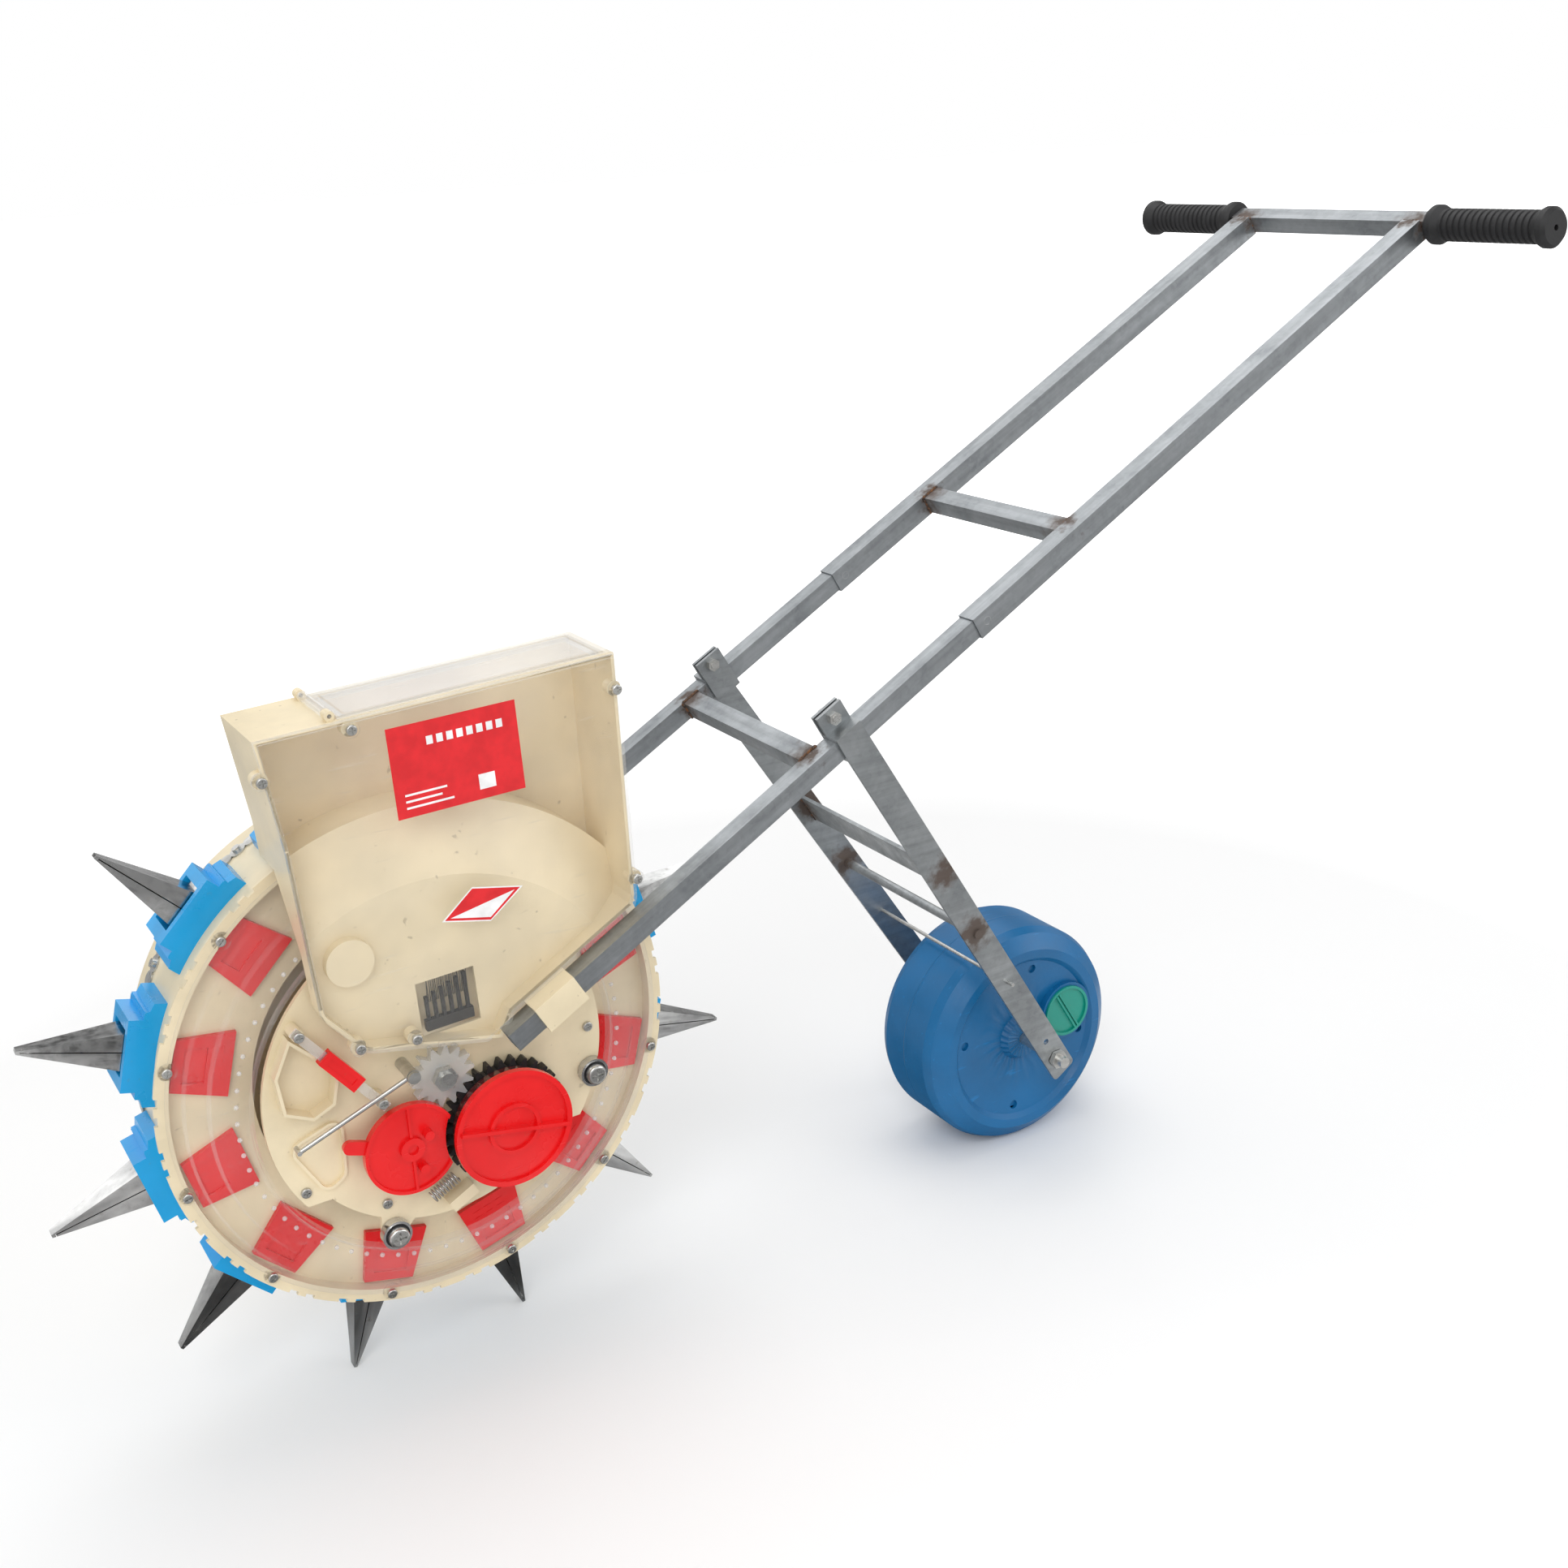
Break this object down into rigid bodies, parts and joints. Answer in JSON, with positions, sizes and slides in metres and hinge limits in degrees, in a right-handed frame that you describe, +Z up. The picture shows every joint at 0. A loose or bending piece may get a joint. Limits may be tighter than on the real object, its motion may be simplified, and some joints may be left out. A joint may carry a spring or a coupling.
{
  "type": "push seeder",
  "caption": "Hand-push seeder: a wheel of hollow steel beaks fed by a side hopper and metering drive, on a sloping two-tube frame with a telescoping handle and a press roller.",
  "frame": {"origin": "bottom centre of the bounding box, on the ground", "axes": "+X from the beaked wheel towards the handle, +Y away from the hopper side, +Z up"},
  "size_m": [1.2426, 0.476, 0.8083],
  "materials": {
    "bearing_steel": "ground",
    "black_plastic": "moulded",
    "clear_plastic": "clear moulded",
    "cream_plastic": "gloss moulded",
    "galvanised_steel": "galvanised",
    "green_plastic": "gloss moulded",
    "grip_rubber": "ribbed",
    "polished_steel": "polished stamped sheet",
    "red_plastic": "gloss moulded",
    "roller_blue_plastic": "satin blow-moulded",
    "sky_blue_plastic": "gloss moulded",
    "smoked_plastic": "dark translucent",
    "zinc_steel": "zinc plated"
  },
  "bodies": {
    "frame": {"near_lower_tube": "galvanised_steel", "far_lower_tube": "galvanised_steel", "lower_crossbar": "galvanised_steel", "tube_clip": "cream_plastic", "hub_disc": "cream_plastic", "gate_strip": "clear_plastic", "case_screws": "zinc_steel", "shoulder_screws": "zinc_steel", "metering_housing": "smoked_plastic", "brush_cover": "red_plastic", "tension_spring": "zinc_steel", "hopper_body": "cream_plastic", "hopper_cover": "clear_plastic", "seed_brush": "black_plastic"},
    "wheel": {"wheel_drum": "cream_plastic", "wheel_back_disc": "cream_plastic", "cover_ring": "clear_plastic", "cover_ring_screws": "zinc_steel", "beak_holders": "sky_blue_plastic", "fixed_beaks": "polished_steel", "seed_pockets": "red_plastic", "rim_brackets": "zinc_steel", "wheel_shaft": "bearing_steel", "drive_gear": "clear_plastic", "shaft_nut": "zinc_steel"},
    "metering": {"metering_gear": "black_plastic"},
    "cap": {"metering_cap": "red_plastic"},
    "clip": {"gate_clip": "red_plastic"},
    "lever": {"gate_rod": "zinc_steel"},
    "lid": {"hopper_lid": "clear_plastic"},
    "handle": {"near_upper_tube": "galvanised_steel", "far_upper_tube": "galvanised_steel", "mid_crossbar": "galvanised_steel", "handlebar": "galvanised_steel", "near_grip": "grip_rubber", "far_grip": "grip_rubber"},
    "carrier": {"near_roller_arm": "galvanised_steel", "far_roller_arm": "galvanised_steel", "clamp_bolts": "zinc_steel", "arm_braces": "galvanised_steel", "scraper_wire": "zinc_steel", "roller_axle": "bearing_steel", "axle_nuts": "zinc_steel"},
    "roller": {"press_roller": "roller_blue_plastic"},
    "plug": {"filler_cap": "green_plastic"},
    "flap_01": {"beak_flap_01": "polished_steel"},
    "flap_02": {"beak_flap_02": "polished_steel"},
    "flap_03": {"beak_flap_03": "polished_steel"},
    "flap_04": {"beak_flap_04": "polished_steel"},
    "flap_05": {"beak_flap_05": "polished_steel"},
    "flap_06": {"beak_flap_06": "polished_steel"},
    "flap_07": {"beak_flap_07": "polished_steel"},
    "flap_08": {"beak_flap_08": "polished_steel"},
    "flap_09": {"beak_flap_09": "polished_steel"},
    "flap_10": {"beak_flap_10": "polished_steel"},
    "flap_11": {"beak_flap_11": "polished_steel"},
    "flap_12": {"beak_flap_12": "polished_steel"},
    "bearing_1": {"guide_bearing_1": "bearing_steel"},
    "bearing_2": {"guide_bearing_2": "bearing_steel"},
    "bearing_3": {"guide_bearing_3": "bearing_steel"}
  },
  "joints": [
    {"name": "wheel_spin", "type": "hinge", "parent": "frame", "child": "wheel", "pos_m": [-0.35533, 0.004, 0.26594], "axis": [0, 1, 0], "continuous": true},
    {"name": "metering_spin", "type": "hinge", "parent": "frame", "child": "metering", "pos_m": [-0.31194, -0.075, 0.21621], "axis": [0, 1, 0], "continuous": true},
    {"name": "cap_turn", "type": "hinge", "parent": "frame", "child": "cap", "pos_m": [-0.31194, -0.094, 0.21621], "axis": [0, 1, 0], "range_deg": [0, 60]},
    {"name": "clip_slide", "type": "slide", "parent": "frame", "child": "clip", "axis": [0.6018, 0, -0.7986], "range_m": [-0.015, 0.015]},
    {"name": "lever_swing", "type": "hinge", "parent": "frame", "child": "lever", "pos_m": [-0.38233, -0.0925, 0.28194], "axis": [0, 1, 0], "range_deg": [-10, 12]},
    {"name": "lid_hinge", "type": "hinge", "parent": "frame", "child": "lid", "pos_m": [-0.40684, -0.0562, 0.55175], "axis": [0, -1, 0], "range_deg": [0, 110]},
    {"name": "handle_slide", "type": "slide", "parent": "frame", "child": "handle", "axis": [0.8771, 0, 0.4802], "range_m": [0, 0.12]},
    {"name": "carrier_slide", "type": "slide", "parent": "frame", "child": "carrier", "axis": [0.8771, 0, 0.4802], "range_m": [-0.008, 0.11]},
    {"name": "roller_spin", "type": "hinge", "parent": "carrier", "child": "roller", "pos_m": [0.20027, 0, 0.102], "axis": [0, 1, 0], "continuous": true},
    {"name": "plug_turn", "type": "hinge", "parent": "roller", "child": "plug", "pos_m": [0.24827, -0.0465, 0.116], "axis": [0, 1, 0], "range_deg": [0, 90]},
    {"name": "bearing_1_spin", "type": "hinge", "parent": "frame", "child": "bearing_1", "pos_m": [-0.23745, -0.074, 0.22877], "axis": [0, 1, 0], "continuous": true},
    {"name": "bearing_2_spin", "type": "hinge", "parent": "frame", "child": "bearing_2", "pos_m": [-0.40263, -0.074, 0.15175], "axis": [0, 1, 0], "continuous": true},
    {"name": "bearing_3_spin", "type": "hinge", "parent": "frame", "child": "bearing_3", "pos_m": [-0.41336, -0.074, 0.37507], "axis": [0, 1, 0], "continuous": true},
    {"name": "flap_01_open", "type": "hinge", "parent": "wheel", "child": "flap_01", "pos_m": [-0.16183, 0.004, 0.32814], "axis": [0, -1, 0], "range_deg": [0, 12], "stiffness_Nm_per_rad": 0.12, "springref_deg": -22.92},
    {"name": "flap_02_open", "type": "hinge", "parent": "wheel", "child": "flap_02", "pos_m": [-0.21886, 0.004, 0.41655], "axis": [0, -1, 0], "range_deg": [0, 12], "stiffness_Nm_per_rad": 0.12, "springref_deg": -22.92},
    {"name": "flap_03_open", "type": "hinge", "parent": "wheel", "child": "flap_03", "pos_m": [-0.31245, 0.004, 0.46461], "axis": [0, -1, 0], "range_deg": [0, 12], "stiffness_Nm_per_rad": 0.12, "springref_deg": -22.92},
    {"name": "flap_04_open", "type": "hinge", "parent": "wheel", "child": "flap_04", "pos_m": [-0.41753, 0.004, 0.45943], "axis": [0, -1, 0], "range_deg": [0, 12], "stiffness_Nm_per_rad": 0.12, "springref_deg": -22.92},
    {"name": "flap_05_open", "type": "hinge", "parent": "wheel", "child": "flap_05", "pos_m": [-0.50594, 0.004, 0.40241], "axis": [0, -1, 0], "range_deg": [0, 12], "stiffness_Nm_per_rad": 0.12, "springref_deg": -22.92},
    {"name": "flap_06_open", "type": "hinge", "parent": "wheel", "child": "flap_06", "pos_m": [-0.554, 0.004, 0.30882], "axis": [0, -1, 0], "range_deg": [0, 12], "stiffness_Nm_per_rad": 0.12, "springref_deg": -22.92},
    {"name": "flap_07_open", "type": "hinge", "parent": "wheel", "child": "flap_07", "pos_m": [-0.54882, 0.004, 0.20374], "axis": [0, -1, 0], "range_deg": [0, 12], "stiffness_Nm_per_rad": 0.12, "springref_deg": -22.92},
    {"name": "flap_08_open", "type": "hinge", "parent": "wheel", "child": "flap_08", "pos_m": [-0.4918, 0.004, 0.11533], "axis": [0, -1, 0], "range_deg": [0, 12], "stiffness_Nm_per_rad": 0.12, "springref_deg": -22.92},
    {"name": "flap_09_open", "type": "hinge", "parent": "wheel", "child": "flap_09", "pos_m": [-0.39821, 0.004, 0.06727], "axis": [0, -1, 0], "range_deg": [0, 12], "stiffness_Nm_per_rad": 0.12, "springref_deg": -22.92},
    {"name": "flap_10_open", "type": "hinge", "parent": "wheel", "child": "flap_10", "pos_m": [-0.29313, 0.004, 0.07244], "axis": [0, -1, 0], "range_deg": [0, 12], "stiffness_Nm_per_rad": 0.12, "springref_deg": -22.92},
    {"name": "flap_11_open", "type": "hinge", "parent": "wheel", "child": "flap_11", "pos_m": [-0.20472, 0.004, 0.12947], "axis": [0, -1, 0], "range_deg": [0, 12], "stiffness_Nm_per_rad": 0.12, "springref_deg": -22.92},
    {"name": "flap_12_open", "type": "hinge", "parent": "wheel", "child": "flap_12", "pos_m": [-0.15666, 0.004, 0.22306], "axis": [0, -1, 0], "range_deg": [0, 12], "stiffness_Nm_per_rad": 0.12, "springref_deg": -22.92}
  ],
  "couplings": [
    {"joint": "metering_spin", "follows": "wheel_spin", "ratio": -0.46667},
    {"joint": "bearing_1_spin", "follows": "wheel_spin", "ratio": 12.255},
    {"joint": "bearing_2_spin", "follows": "wheel_spin", "ratio": 12.255},
    {"joint": "bearing_3_spin", "follows": "wheel_spin", "ratio": 12.255}
  ]
}
